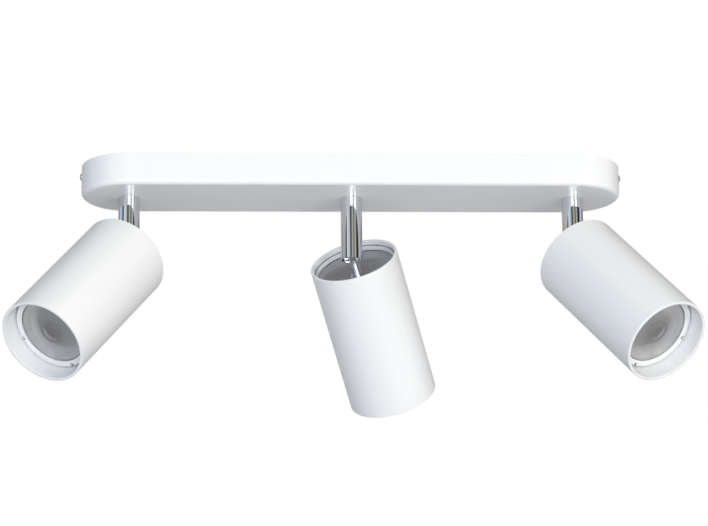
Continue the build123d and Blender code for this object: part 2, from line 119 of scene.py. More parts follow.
MIDDLE_HEAD = head_matrix("middle")
HEAD_REAR, HEAD_FRONT, HEAD_RADIUS = span_along("middle_head_tube", MIDDLE_HEAD)
CUP_EDGE, CUP_BACK, CUP_RADIUS = span_along("middle_back_plate", MIDDLE_HEAD)
LENS_BACK, LENS_FRONT, LENS_RADIUS = span_along("middle_lamp_lens", MIDDLE_HEAD)
BEZEL_BACK, BEZEL_FRONT, BEZEL_RADIUS = span_along("middle_lamp_bezel", MIDDLE_HEAD)
CANOPY_LOW, CANOPY_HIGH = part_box("canopy_housing")


# ---- sizes and colours a user would change ----------------------------------------------


def length(name, description, default):
    return FloatProperty(
        name=name, description=description, default=default, unit="LENGTH", precision=5,
    )


def colour(name, description, default):
    return StringProperty(name=name, description=description, default=default)


class BarLightSizes(bpy.types.PropertyGroup):
    """Sizes that the CAD frame leaves to the looks"""

    canopy_wall: length("Canopy wall", "Thickness of the drawn steel canopy", 1.2 * MM)
    canopy_edge: length("Canopy edge", "Radius of the canopy's lower edge", 3.2 * MM)
    canopy_lip: length("Canopy lip", "Softening of the canopy's upper edge", 0.25 * MM)
    nipple_hole: length("Nipple hole", "Radius of the canopy's hole for each stem's nipple", 5.08 * MM)
    screw_hole: length("Screw hole", "Radius of the canopy's hole for each side screw", 2.2 * MM)
    head_wall: length("Head wall", "Thickness of the head's tube", 1.8 * MM)
    rim_round: length("Rim rounding", "Softening of the head's two rims", 0.5 * MM)
    cup_wall: length("Cup wall", "Thickness of the pressed back plate", 1.0 * MM)
    cup_bend: length("Cup bend", "Inside radius where the back plate turns up", 1.2 * MM)
    cup_band: length("Cup band", "Flat band beside that bend", 0.4 * MM)
    ring_wall: length("Ring wall", "Thickness of the ring that holds the back plate", 0.45 * MM)
    ring_inset: length("Ring inset", "How far that ring stays inside the turned-up edge", 0.3 * MM)
    post_hole: length("Post hole", "Radius of the back plate's hole for the post", 2.42 * MM)
    lens_ledge: length("Lens ledge", "Width of the lens's lower edge under the bezel", 1.35 * MM)
    lens_ledge_drop: length("Ledge drop", "How far that edge lies behind the lens's face", 1.6 * MM)
    lens_ridges: IntProperty(
        name="Lens ridges", description="Moulded rings near the lens's edge", default=6,
    )
    lens_ridge_pitch: length("Ridge pitch", "From one moulded ring to the next", 0.95 * MM)
    lens_ridge_height: length("Ridge height", "How far each moulded ring stands up", 0.16 * MM)
    lens_dome_height: length("Lens dome", "Rise of the dome inside the rings", 2.2 * MM)
    lens_eye: length("Lens eye", "Radius of the small lens at the middle", 6.0 * MM)
    lens_groove: length("Eye groove", "Depth of the groove round the small lens", 0.12 * MM)
    lens_eye_height: length("Eye height", "Rise of the small lens at the middle", 0.9 * MM)
    bezel_bore: length("Bezel bore", "Radius of the hole that the lens shows through", 21.75 * MM)
    bezel_lip: length("Bezel lip", "Thickness of the lip over the lens's edge", 0.75 * MM)
    bezel_lens_gap: length("Bezel play", "Between the lens's edge and the bezel", 0.05 * MM)
    bezel_notch_width: length("Notch width", "Width of each notch in the bezel's outer edge", 2.4 * MM)
    bezel_notch_depth: length("Notch depth", "How far each notch goes in", 1.8 * MM)
    bezel_round: length("Bezel rounding", "Softening of the bezel's edges", 0.22 * MM)


class BarLightColours(bpy.types.PropertyGroup):
    """Colours as sRGB hex values"""

    enamel: colour("Enamel", "Powder-coated canopy and heads", "#F4F5F7")
    chrome: colour("Chrome", "Stems, swivel forks and side screws", "#E2E3E6")
    satin: colour("Satin chrome", "Swivel posts", "#FAFAFB")
    plate: colour("Back plate", "Bright-rolled steel of the back plates", "#A9AAAE")
    # Both lens colours are painted reflection: the lens is painted darker at its middle and brighter
    # towards its edge, in place of what it reflects.
    lens_painted_dark_middle: colour("Lens, middle", "Lamp lens over the dark middle of its reflector", "#8B8A89")
    lens_painted_bright_edge: colour("Lens, edge", "Lamp lens over the bright edge of its reflector", "#C6C6C8")
    lamp: colour("Lamp", "Moulded lamp housing and bezel", "#F3F5F6")
    zinc: colour("Zinc", "Zinc-plated steel inside the canopy", "#B9BBBD")
    brass: colour("Brass", "Terminal sleeves", "#C9A35A")
    polyamide: colour("Polyamide", "Terminal block", "#E9E6DC")
    steatite: colour("Steatite", "Ceramic lampholder", "#E6E2D6")
    live: colour("Live", "Insulation of the live leads", "#5A3620")
    neutral: colour("Neutral", "Insulation of the neutral leads", "#2C5FA8")
    earth: colour("Earth", "Insulation of the earth lead", "#3F8A3A")
    earth_stripe: colour("Earth stripe", "Second colour of the earth lead", "#E3D044")
    silicone: colour("Silicone", "Insulation of the leads in the stems and heads", "#E9E8E3")
    floor: colour("Floor", "Studio floor", "#D2D3D5")


# ---- materials ----------------------------------------------------------------------------


def srgb(hex_value):
    """An sRGB hex value as linear red, green, blue and alpha."""
    parts = [int(hex_value[i:i + 2], 16) / 255 for i in (1, 3, 5)]
    return (*[p / 12.92 if p <= 0.04045 else ((p + 0.055) / 1.055) ** 2.4 for p in parts], 1.0)


def add_node(tree, kind, settings=None, **inputs):
    """Adds one node. Settings are its properties; inputs are values or sockets to link from."""
    node = tree.nodes.new(kind)
    for name, value in (settings or {}).items():
        setattr(node, name, value)
    for name, value in inputs.items():
        key = int(name[1:]) if name[0] == "i" and name[1:].isdigit() else name.replace("_", " ")
        socket = node.inputs[key]
        if isinstance(value, bpy.types.NodeSocket):
            tree.links.new(value, socket)
        else:
            socket.default_value = value
    return node


def new_material(name, **inputs):
    """A material with one Principled shader, whose constants stand on its own sockets."""
    material = bpy.data.materials.new(name)
    material.use_nodes = True
    tree = material.node_tree
    shader = tree.nodes["Principled BSDF"]
    for key, value in inputs.items():
        shader.inputs[key.replace("_", " ")].default_value = value
    return material, tree, shader


def object_place(tree):
    """Object coordinates, in metres."""
    return add_node(tree, "ShaderNodeTexCoord").outputs["Object"]


def mottle(tree, place, size, low, high, detail=2.0):
    """A slow noise of one real size, mapped between two values."""
    noise = add_node(tree, "ShaderNodeTexNoise", Vector=place, Scale=1 / size, Detail=detail)
    span = add_node(tree, "ShaderNodeMapRange", Value=noise.outputs["Fac"], To_Min=low, To_Max=high)
    return span.outputs["Result"]


def bump(tree, shader, height, distance, strength=1.0):
    """Feeds a height into the shader's normal, with its depth in metres."""
    node = add_node(tree, "ShaderNodeBump", Height=height, Distance=distance, Strength=strength)
    tree.links.new(node.outputs["Normal"], shader.inputs["Normal"])


def powder_coat(name, hex_value):
    """Polyester powder coat on steel or aluminium: satin, with a faint orange peel."""
    material, tree, shader = new_material(
        name, Base_Color=srgb(hex_value), IOR=1.5, Coat_Roughness=0.12,
    )
    shader.inputs["Coat Weight"].default_value = 0.16
    place = object_place(tree)
    # Orange peel is 1.5 to 3 mm across on such coats and a few micrometres deep.
    peel = add_node(tree, "ShaderNodeTexNoise", Vector=place, Scale=1 / (2.2 * MM), Detail=1.5)
    bump(tree, shader, peel.outputs["Fac"], 0.006 * MM)
    tree.links.new(mottle(tree, place, 14 * MM, 0.34, 0.41), shader.inputs["Roughness"])
    return material


def chrome_plate(name, hex_value, low=0.035, high=0.075):
    """Decorative chrome on turned steel: a mirror with faint turning and handling haze.

    Between higher roughness values it is satin chrome, which catches light from all round.
    """
    material, tree, shader = new_material(name, Base_Color=srgb(hex_value), Metallic=1.0)
    place = object_place(tree)
    tree.links.new(mottle(tree, place, 6 * MM, low, high, 4.0), shader.inputs["Roughness"])
    # Turning marks are finer than 0.1 mm; they are drawn 2.5 mm apart so that they can show.
    marks = add_node(
        tree, "ShaderNodeTexWave", {"bands_direction": "Z"}, Vector=place,
        Scale=WAVE_REPEAT / (2.513 * MM), Distortion=1.5, Detail=1.0,
    )
    bump(tree, shader, marks.outputs["Fac"], 0.0006 * MM)
    return material


def bright_steel(name, hex_value):
    """Bright-rolled nickel-washed steel: a slightly soft mirror, duller than chrome."""
    material, tree, shader = new_material(name, Base_Color=srgb(hex_value), Metallic=1.0)
    place = object_place(tree)
    tree.links.new(mottle(tree, place, 9 * MM, 0.19, 0.23, 3.0), shader.inputs["Roughness"])
    grain = add_node(tree, "ShaderNodeTexNoise", Vector=place, Scale=1 / (0.5 * MM), Detail=2.0)
    bump(tree, shader, grain.outputs["Fac"], 0.0004 * MM)
    return material


def zinc_plate(name, hex_value):
    """Passivated zinc on pressed steel: grey, satin, with faint cloudy crystals."""
    material, tree, shader = new_material(name, Metallic=1.0)
    place = object_place(tree)
    cells = add_node(tree, "ShaderNodeTexVoronoi", Vector=place, Scale=1 / (3.5 * MM))
    base = Vector(srgb(hex_value)[:3])
    ramp = add_node(tree, "ShaderNodeValToRGB", Fac=cells.outputs["Distance"])
    ramp.color_ramp.elements[0].color = (*(base * 0.86), 1)
    ramp.color_ramp.elements[1].color = (*base, 1)
    tree.links.new(ramp.outputs["Color"], shader.inputs["Base Color"])
    tree.links.new(mottle(tree, place, 5 * MM, 0.28, 0.42, 3.0), shader.inputs["Roughness"])
    return material


def turned_brass(name, hex_value):
    """Turned brass with a light tarnish."""
    material, tree, shader = new_material(name, Base_Color=srgb(hex_value), Metallic=1.0)
    tree.links.new(mottle(tree, object_place(tree), 2 * MM, 0.2, 0.4), shader.inputs["Roughness"])
    return material


def moulded_plastic(name, hex_value, low, high, ior=1.5):
    """Injection-moulded plastic with a fine spark-eroded texture."""
    material, tree, shader = new_material(name, Base_Color=srgb(hex_value), IOR=ior)
    place = object_place(tree)
    tree.links.new(mottle(tree, place, 8 * MM, low, high), shader.inputs["Roughness"])
    grain = add_node(tree, "ShaderNodeTexNoise", Vector=place, Scale=1 / (0.35 * MM), Detail=2.0)
    bump(tree, shader, grain.outputs["Fac"], 0.004 * MM)
    return material


def steatite(name, hex_value):
    """Dry-pressed unglazed steatite: matt, with a powdery grain."""
    material, tree, shader = new_material(name, Base_Color=srgb(hex_value), IOR=1.56)
    place = object_place(tree)
    tree.links.new(mottle(tree, place, 4 * MM, 0.6, 0.8), shader.inputs["Roughness"])
    grain = add_node(tree, "ShaderNodeTexNoise", Vector=place, Scale=1 / (0.5 * MM), Detail=4.0)
    bump(tree, shader, grain.outputs["Fac"], 0.02 * MM)
    return material


def lead_insulation(name, hex_value, stripe=None):
    """Extruded insulation, slightly waxy, plain or with bands of a second colour along it."""
    material, tree, shader = new_material(name, Base_Color=srgb(hex_value), IOR=1.45, Roughness=0.38)
    place = object_place(tree)
    if stripe:
        bands = add_node(
            tree, "ShaderNodeTexWave", {"bands_direction": "DIAGONAL"}, Vector=place,
            Scale=WAVE_REPEAT / (15.08 * MM),
        )
        ramp = add_node(tree, "ShaderNodeValToRGB", Fac=bands.outputs["Fac"])
        ramp.color_ramp.interpolation = "CONSTANT"
        ramp.color_ramp.elements[0].color = srgb(hex_value)
        ramp.color_ramp.elements[1].position = 0.5
        ramp.color_ramp.elements[1].color = srgb(stripe)
        tree.links.new(ramp.outputs["Color"], shader.inputs["Base Color"])
    grain = add_node(tree, "ShaderNodeTexNoise", Vector=place, Scale=1 / (0.6 * MM), Detail=1.0)
    bump(tree, shader, grain.outputs["Fac"], 0.005 * MM)
    return material


def moulded_lens_painted_reflection(name, middle, edge):
    """Clear polycarbonate over a metal reflector: grey, half mirror, with painted reflection that is
    darker at the middle and brighter towards the edge.
    """
    material, tree, shader = new_material(name, IOR=1.585, Coat_IOR=1.585)
    reach = add_node(tree, "ShaderNodeAttribute", {"attribute_name": LENS_REACH}).outputs["Fac"]
    # The ramp paints reflection: darker at the lens's middle, brighter towards its edge.
    ramp = add_node(tree, "ShaderNodeValToRGB", Fac=reach)
    ramp.color_ramp.elements[0].position = 0.12
    ramp.color_ramp.elements[0].color = srgb(middle)
    ramp.color_ramp.elements[1].color = srgb(edge)
    tree.links.new(ramp.outputs["Color"], shader.inputs["Base Color"])
    shader.inputs["Metallic"].default_value = 0.5
    shader.inputs["Coat Weight"].default_value = 0.5
    shader.inputs["Coat Roughness"].default_value = 0.05
    place = object_place(tree)
    tree.links.new(mottle(tree, place, 10 * MM, 0.2, 0.28), shader.inputs["Roughness"])
    return material


MATERIALS = {}


def make_materials(colours):
    """Every finish, made once."""
    MATERIALS["enamel"] = powder_coat("powder_coated_steel", colours.enamel)
    MATERIALS["head_enamel"] = powder_coat("powder_coated_aluminium", colours.enamel)
    MATERIALS["chrome"] = chrome_plate("chrome_plated_steel", colours.chrome)
    MATERIALS["satin"] = chrome_plate("satin_chrome_plated_steel", colours.satin, 0.15, 0.2)
    MATERIALS["plate"] = bright_steel("bright_rolled_steel", colours.plate)
    MATERIALS["zinc"] = zinc_plate("zinc_plated_steel", colours.zinc)
    MATERIALS["brass"] = turned_brass("turned_brass", colours.brass)
    MATERIALS["polyamide"] = moulded_plastic("moulded_polyamide", colours.polyamide, 0.45, 0.6, 1.53)
    MATERIALS["lamp"] = moulded_plastic("moulded_polycarbonate", colours.lamp, 0.28, 0.36, 1.585)
    MATERIALS["bezel"] = moulded_plastic("moulded_polycarbonate_bezel", colours.lamp, 0.2, 0.28, 1.585)
    MATERIALS["steatite"] = steatite("pressed_steatite", colours.steatite)
    MATERIALS["lens"] = moulded_lens_painted_reflection("moulded_lens_painted_reflection", colours.lens_painted_dark_middle, colours.lens_painted_bright_edge)
    MATERIALS["live"] = lead_insulation("brown_insulation", colours.live)
    MATERIALS["neutral"] = lead_insulation("blue_insulation", colours.neutral)
    MATERIALS["earth"] = lead_insulation("green_yellow_insulation", colours.earth, colours.earth_stripe)
    MATERIALS["silicone"] = lead_insulation("white_silicone_insulation", colours.silicone)


# Which finish each CAD node takes, by the end of its name. The pieces below hide some of them.
NODE_FINISH = {
    "ceiling_bracket": "zinc", "side_screws": "chrome", "terminal_block": "polyamide",
    "terminal_sleeves": "brass", "terminal_screws": "zinc", "live_leads": "live",
    "neutral_leads": "neutral", "earth_lead": "earth", "stem_tube": "chrome", "stem_nipple": "zinc",
    "locknut": "zinc", "swivel_fork": "chrome", "pivot_pins": "zinc", "stem_leads": "silicone",
    "swivel_post": "satin", "post_nut": "zinc", "holder_bracket": "zinc", "lampholder": "steatite",
    "holder_screws": "zinc", "lamp_body": "lamp", "lamp_bezel": "lamp", "head_leads": "silicone",
    "head_tube": "head_enamel", "back_plate": "plate", "lamp_lens": "lens", "canopy_housing": "enamel",
}


# ---- modelling helpers --------------------------------------------------------------------


def clear_selection():
    """Deselects everything, so that the next operator acts on the new piece alone."""
    if bpy.context.object and bpy.context.object.mode != "OBJECT":
        bpy.ops.object.mode_set(mode="OBJECT")
    bpy.ops.object.select_all(action="DESELECT")


def choose(piece, test, mode="FACE"):
    """In edit mode, selects only the faces, edges or vertices that pass a test."""
    bpy.ops.mesh.select_mode(type=mode)
    bpy.ops.mesh.select_all(action="DESELECT")
    mesh = bmesh.from_edit_mesh(piece.data)
    group = {"FACE": mesh.faces, "EDGE": mesh.edges, "VERT": mesh.verts}[mode]
    for element in group:
        if test(element):
            element.select = True
    mesh.select_flush_mode()
    bmesh.update_edit_mesh(piece.data)


def edit(piece):
    """Goes into edit mode on one piece."""
    bpy.context.view_layer.objects.active = piece
    piece.select_set(True)
    bpy.ops.object.mode_set(mode="EDIT")


def leave_edit():
    bpy.ops.object.mode_set(mode="OBJECT")


def apply_modifier(piece, kind, **settings):
    """Adds a modifier to the active piece and applies it."""
    modifier = piece.modifiers.new(kind.title(), kind)
    for name, value in settings.items():
        setattr(modifier, name, value)
    bpy.context.view_layer.objects.active = piece
    bpy.ops.object.modifier_apply(modifier=modifier.name)


def cut_with(piece, cutter):
    """Cuts one mesh out of another and removes the cutter."""
    apply_modifier(piece, "BOOLEAN", operation="DIFFERENCE", object=cutter, solver="EXACT")
    bpy.data.objects.remove(cutter)


def smooth(piece):
    """Smooth shading except across real edges, with flats that stay flat beside small bends."""
    clear_selection()
    piece.select_set(True)
    bpy.context.view_layer.objects.active = piece
    bpy.ops.object.shade_smooth_by_angle(angle=SMOOTH_ANGLE)
    apply_modifier(piece, "WEIGHTED_NORMAL", keep_sharp=True, weight=80)


def place_copy(master, name, matrix):
    """A copy with its own mesh, moved to its place, whose object stays at the origin."""
    copy = bpy.data.objects.new(name, master.data.copy())
    copy.data.name = name
    copy.data.transform(matrix)
    bpy.context.scene.collection.objects.link(copy)
    return copy


def dress(piece, finish, body, slot, *nodes):
    """Gives a finished piece its material and body, and hides the CAD nodes it stands for. Its slot is
    not used.
    """
    piece.data.materials.clear()
    piece.data.materials.append(MATERIALS[finish])
    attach(piece, body)
    if nodes:
        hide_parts(*nodes)


def dress_heads(master, label, finish, slot, *nodes):
    """One copy of a head piece for each head, in place of that head's CAD nodes, if any."""
    for side in SIDES:
        piece = place_copy(master, f"{side}_{label}", head_matrix(side))
        dress(piece, finish, f"{side}_head", slot, *[f"{side}_{node}" for node in nodes])
    bpy.data.objects.remove(master)


# ---- pieces -------------------------------------------------------------------------------


class BARLIGHT_OT_finishes(bpy.types.Operator):
    """Make the finishes and give each CAD node its own"""

    bl_idname = "bar_light.finishes"
    bl_label = "Finishes"

    def execute(self, context):
        make_materials(context.scene.bar_light_colours)
        for name, node in frame["nodes"].items():
            part = name.split("_", 1)[1] if name.split("_")[0] in SIDES else name
            node.data.materials.clear()
            node.data.materials.append(MATERIALS[NODE_FINISH[part]])
        return {"FINISHED"}


class BARLIGHT_OT_canopy(bpy.types.Operator):
    """Model the drawn canopy: a long round-ended pan with its holes"""

    bl_idname = "bar_light.canopy"
    bl_label = "Canopy"

    def execute(self, context):
        sizes = context.scene.bar_light_sizes
        radius = (CANOPY_HIGH.y - CANOPY_LOW.y) / 2
        height = CANOPY_HIGH.z - CANOPY_LOW.z
        reach = (CANOPY_HIGH.x - CANOPY_LOW.x) / 2 - radius
        clear_selection()
        bpy.ops.mesh.primitive_cylinder_add(
            vertices=ROUND_SIDES, radius=radius, depth=height,
            location=(0, 0, CANOPY_LOW.z + height / 2), rotation=(0, 0, math.pi / ROUND_SIDES),
        )
        canopy = context.object
        canopy.name = "canopy_shell"
        bpy.ops.object.transform_apply(location=True, rotation=True, scale=True)
        edit(canopy)
        for side in (-1, 1):
            choose(canopy, lambda vertex: vertex.co.x * side > 0, "VERT")
            bpy.ops.transform.translate(value=(side * reach, 0, 0))
        low = CANOPY_LOW.z + NEAR
        choose(canopy, lambda edge: all(v.co.z < low for v in edge.verts), "EDGE")
        bpy.ops.mesh.bevel(offset=sizes.canopy_edge, segments=7, profile=0.5, affect="EDGES")
        choose(canopy, lambda face: face.normal.z > FLAT)
        bpy.ops.mesh.delete(type="FACE")
        leave_edit()
        apply_modifier(canopy, "SOLIDIFY", thickness=sizes.canopy_wall, offset=-1, use_even_offset=True)
        apply_modifier(
            canopy, "BEVEL", width=sizes.canopy_lip, segments=2, limit_method="ANGLE",
            angle_limit=SHARP_TURN,
        )
        for side in SIDES:
            x, y, _ = joint(f"{side}_pan")["pos_m"]
            bpy.ops.mesh.primitive_cylinder_add(
                vertices=64, radius=sizes.nipple_hole, depth=6 * sizes.canopy_wall,
                location=(x, y, CANOPY_LOW.z),
            )
            cut_with(canopy, context.object)
        screw_low, screw_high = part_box("side_screws")
        bpy.ops.mesh.primitive_cylinder_add(
            vertices=32, radius=sizes.screw_hole, depth=2 * CANOPY_HIGH.x + 20 * MM,
            location=(0, 0, (screw_low.z + screw_high.z) / 2), rotation=(0, math.pi / 2, 0),
        )
        cut_with(canopy, context.object)
        smooth(canopy)
        dress(canopy, "enamel", "canopy", "white_enamel", "canopy_housing")
        return {"FINISHED"}


class BARLIGHT_OT_heads(bpy.types.Operator):
    """Model the three head tubes: open cylinders with softened rims"""

    bl_idname = "bar_light.heads"
    bl_label = "Head tubes"

    def execute(self, context):
        sizes = context.scene.bar_light_sizes
        clear_selection()
        bpy.ops.mesh.primitive_cylinder_add(
            vertices=ROUND_SIDES, radius=HEAD_RADIUS, depth=HEAD_FRONT - HEAD_REAR,
            end_fill_type="NOTHING", location=(0, 0, (HEAD_FRONT + HEAD_REAR) / 2),
        )
        tube = context.object
        bpy.ops.object.transform_apply(location=True, rotation=True, scale=True)
        apply_modifier(tube, "SOLIDIFY", thickness=sizes.head_wall, offset=-1)
        apply_modifier(
            tube, "BEVEL", width=sizes.rim_round, segments=4, limit_method="ANGLE",
            angle_limit=SHARP_TURN,
        )
        smooth(tube)
        dress_heads(tube, "head_shell", "head_enamel", "head_enamel", "head_tube")
        return {"FINISHED"}


class BARLIGHT_OT_back_plates(bpy.types.Operator):
    """Model the three pressed back plates, shallow cups for the posts, and the rings that hold them"""

    bl_idname = "bar_light.back_plates"
    bl_label = "Back plates"

    def execute(self, context):
        sizes = context.scene.bar_light_sizes
        clear_selection()
        depth = CUP_BACK - CUP_EDGE
        bpy.ops.mesh.primitive_cylinder_add(
            vertices=ROUND_SIDES, radius=CUP_RADIUS, depth=depth, location=(0, 0, CUP_EDGE + depth / 2),
        )
        cup = context.object
        bpy.ops.object.transform_apply(location=True, rotation=True, scale=True)
        edit(cup)
        choose(cup, lambda face: face.normal.z < -FLAT)
        bpy.ops.mesh.delete(type="FACE")
        high = CUP_BACK - NEAR
        choose(cup, lambda edge: all(v.co.z > high for v in edge.verts), "EDGE")
        bpy.ops.mesh.bevel(
            offset=sizes.cup_bend + sizes.cup_wall / 2, segments=6, profile=0.5, affect="EDGES"
        )
        choose(cup, lambda face: face.normal.z > DEAD_FLAT)
        # A narrow band beside the bend keeps the plate's shading flat.
        bpy.ops.mesh.inset(thickness=sizes.cup_band, depth=0)
        leave_edit()
        apply_modifier(cup, "SOLIDIFY", thickness=sizes.cup_wall, offset=-1, use_even_offset=True)
        bpy.ops.mesh.primitive_cylinder_add(
            vertices=48, radius=sizes.post_hole, depth=8 * sizes.cup_wall, location=(0, 0, CUP_BACK),
        )
        cut_with(cup, context.object)
        smooth(cup)
        dress_heads(cup, "back_cup", "plate", "bright_plate", "back_plate")
        self.snap_ring(sizes)
        return {"FINISHED"}

    def snap_ring(self, sizes):
        """The enamelled ring that holds each plate, inside the plate's turned-up edge."""
        clear_selection()
        low, high = CUP_EDGE + sizes.ring_inset, CUP_BACK - sizes.cup_wall - sizes.ring_inset
        bpy.ops.mesh.primitive_cylinder_add(
            vertices=ROUND_SIDES, radius=CUP_RADIUS - sizes.cup_wall, depth=high - low,
            end_fill_type="NOTHING", location=(0, 0, (low + high) / 2),
        )
        ring = bpy.context.object
        bpy.ops.object.transform_apply(location=True, rotation=True, scale=True)
        apply_modifier(ring, "SOLIDIFY", thickness=sizes.ring_wall, offset=-1)
        apply_modifier(
            ring, "BEVEL", width=sizes.ring_wall / 3, segments=2, limit_method="ANGLE",
            angle_limit=SHARP_TURN,
        )
        smooth(ring)
        dress_heads(ring, "snap_ring", "head_enamel", "head_enamel")


class BARLIGHT_OT_lenses(bpy.types.Operator):
    """Model the three lamp lenses: moulded rings round a shallow dome with a small eye"""

    bl_idname = "bar_light.lenses"
    bl_label = "Lamp lenses"

    def execute(self, context):
        sizes = context.scene.bar_light_sizes
        clear_selection()
        ledge = LENS_FRONT - sizes.lens_ledge_drop
        bpy.ops.mesh.primitive_cylinder_add(
            vertices=ROUND_SIDES, radius=LENS_RADIUS, depth=ledge - LENS_BACK,
            location=(0, 0, (LENS_BACK + ledge) / 2),
        )
        lens = context.object
        bpy.ops.object.transform_apply(location=True, rotation=True, scale=True)
        edit(lens)
        choose(lens, lambda face: face.normal.z > FLAT)
        # The ledge under the bezel's lip, then the step up to the part that is seen.
        bpy.ops.mesh.inset(thickness=sizes.lens_ledge, depth=0)
        step_up = (0, 0, sizes.lens_ledge_drop)
        bpy.ops.mesh.extrude_region_move(TRANSFORM_OT_translate={"value": step_up})
        # Each ring is a short steep step down and a long shallow slope back.
        steep, shallow = sizes.lens_ridge_pitch * 0.3, sizes.lens_ridge_pitch * 0.7
        for _ in range(sizes.lens_ridges):
            bpy.ops.mesh.inset(thickness=steep, depth=-sizes.lens_ridge_height)
            bpy.ops.mesh.inset(thickness=shallow, depth=sizes.lens_ridge_height)
        # Then a shallow dome, a groove, and the low eye.
        start = LENS_RADIUS - sizes.lens_ledge - sizes.lens_ridges * sizes.lens_ridge_pitch
        wall, floor = sizes.lens_eye * 0.12, sizes.lens_eye * 0.13
        self.dome(start, sizes.lens_eye + wall + floor, sizes.lens_dome_height, 10)
        bpy.ops.mesh.inset(thickness=wall, depth=-sizes.lens_groove)
        bpy.ops.mesh.inset(thickness=floor, depth=0)
        self.dome(sizes.lens_eye, 0, sizes.lens_eye_height, 12)
        leave_edit()
        # Each point's share of the radius steers the lens's painted reflection.
        reach = lens.data.attributes.new(LENS_REACH, "FLOAT", "POINT")
        for place, vertex in zip(reach.data, lens.data.vertices):
            place.value = vertex.co.xy.length / LENS_RADIUS
        smooth(lens)
        dress_heads(lens, "lens", "lens", "lamp_lens", "lamp_lens")
        return {"FINISHED"}

    def dome(self, outer, inner, height, steps):
        """Insets the chosen face in steps that follow a sphere of one radius and height."""
        sphere = (outer ** 2 + height ** 2) / (2 * height)
        step = (outer - inner) / steps
        level = [math.sqrt(sphere ** 2 - (outer - step * k) ** 2) for k in range(steps + 1)]
        if inner == 0:
            level.pop()  # the last inset would close on a point, so a small flat face stays
        for low, high in zip(level, level[1:]):
            bpy.ops.mesh.inset(thickness=step, depth=high - low)


class BARLIGHT_OT_bezels(bpy.types.Operator):
    """Model the three lamp bezels: rounded rings with four notches each"""

    bl_idname = "bar_light.bezels"
    bl_label = "Lamp bezels"

    def execute(self, context):
        sizes = context.scene.bar_light_sizes
        clear_selection()
        tall = BEZEL_FRONT - BEZEL_BACK
        bpy.ops.mesh.primitive_cylinder_add(
            vertices=ROUND_SIDES, radius=BEZEL_RADIUS, depth=tall,
            location=(0, 0, BEZEL_BACK + tall / 2),
        )
        bezel = context.object
        bpy.ops.object.transform_apply(location=True, rotation=True, scale=True)
        for radius, low, high in (
            (sizes.bezel_bore, BEZEL_BACK - tall, BEZEL_FRONT + tall),
            (LENS_RADIUS + sizes.bezel_lens_gap, BEZEL_BACK - tall, BEZEL_FRONT - sizes.bezel_lip),
        ):
            bpy.ops.mesh.primitive_cylinder_add(
                vertices=ROUND_SIDES, radius=radius, depth=high - low,
                location=(0, 0, (low + high) / 2),
            )
            cut_with(bezel, context.object)
        for quarter in range(4):
            turn = quarter * math.pi / 2
            reach = BEZEL_RADIUS - sizes.bezel_notch_depth + sizes.bezel_notch_width
            bpy.ops.mesh.primitive_cube_add(
                size=1, location=(reach * math.cos(turn), reach * math.sin(turn), BEZEL_FRONT),
                rotation=(0, 0, turn),
                scale=(2 * sizes.bezel_notch_width, sizes.bezel_notch_width, 3 * tall),
            )
            cut_with(bezel, context.object)
        apply_modifier(
            bezel, "BEVEL", width=sizes.bezel_round, segments=3, limit_method="ANGLE",
            angle_limit=SHARP_TURN,
        )
        smooth(bezel)
        dress_heads(bezel, "bezel_ring", "bezel", "lamp_plastic", "lamp_bezel")
        return {"FINISHED"}


# ---- studio -------------------------------------------------------------------------------

# The camera: where it stands, and its turns in degrees.
CAMERA_PLACE = (-0.079008, -1.799268, -0.603793)
CAMERA_YAW = 2.557
CAMERA_PITCH = 16.73
CAMERA_ROLL = -0.627
CAMERA_LENS = 152.3  # mm
FLOOR_DROP = 1.15  # metres below the ceiling

# What stands round the studio: the turn in degrees, seen from above and counted from the camera's
# side towards +X, and the colour. The strength is what white stands for. The walls are uneven, so
# that the chrome shows light and dark strips.
STUDIO_STRENGTH = 4.0
STUDIO_LOW = (
    (-180, "#535353"), (-150, "#716D64"), (-120, "#444342"), (-96, "#7A8192"), (-84, "#565E6E"),
    (-72, "#494A4A"), (-60, "#000000"), (-48, "#7F8388"), (-36, "#6F7577"), (-24, "#6A6E71"),
    (-12, "#000000"), (0, "#474B49"), (12, "#6A6A66"), (24, "#000000"), (36, "#70736D"),
    (48, "#3E3B36"), (60, "#000000"), (72, "#191811"), (84, "#697184"), (96, "#6F7383"),
    (120, "#393933"), (150, "#535353"), (180, "#535353"),
)
STUDIO_HIGH = (
    (-180, "#33302C"), (-150, "#54514A"), (-120, "#423F39"), (-90, "#2B2E38"), (-60, "#3A434D"),
    (-30, "#67736F"), (0, "#929282"), (30, "#A09A8D"), (60, "#8B8481"), (90, "#655E5F"),
    (120, "#34332E"), (150, "#23231F"), (180, "#33302C"),
)
STUDIO_TOP = "#63646E"
# Between which heights each part of the wall gives way to the next, as turns above the horizon.
LOW_TO_HIGH = (math.radians(22), math.radians(34))
HIGH_TO_TOP = (math.radians(55), math.radians(72))


# Each softbox: its name, its turn as above, its rise above the horizon in degrees, its colour, its
# watts and its width in metres. Its height is a share of its width.
SOFTBOXES = (
    ("softbox_far_left", -80, -14, "#AAAAFF", 0.1, 1.2),
    ("softbox_left", -40, -14, "#D2E9FF", 4.5, 1.2),
    ("softbox_middle", 0, -14, "#FEFEFF", 21.0, 1.2),
    ("softbox_right", 40, -14, "#FFFDF7", 11.9, 0.6),
    ("softbox_far_right", 80, -14, "#FFFAED", 2.5, 1.2),
)
SOFTBOX_SHAPE = 2 / 3
SOFTBOX_REACH = 2.3  # metres from the object's middle
OBJECT_MIDDLE = Vector((0, 0, -0.08))


def wall_ramp(tree, share, stops):
    """One height of the studio's wall, as a ramp that goes right round."""
    ramp = add_node(tree, "ShaderNodeValToRGB", Fac=share)
    elements = ramp.color_ramp.elements
    for turn, _ in stops[1:-1]:
        elements.new((turn + 180) / 360)
    for element, (turn, hex_value) in zip(elements, stops):
        element.position = (turn + 180) / 360
        element.color = srgb(hex_value)
    return ramp.outputs["Color"]


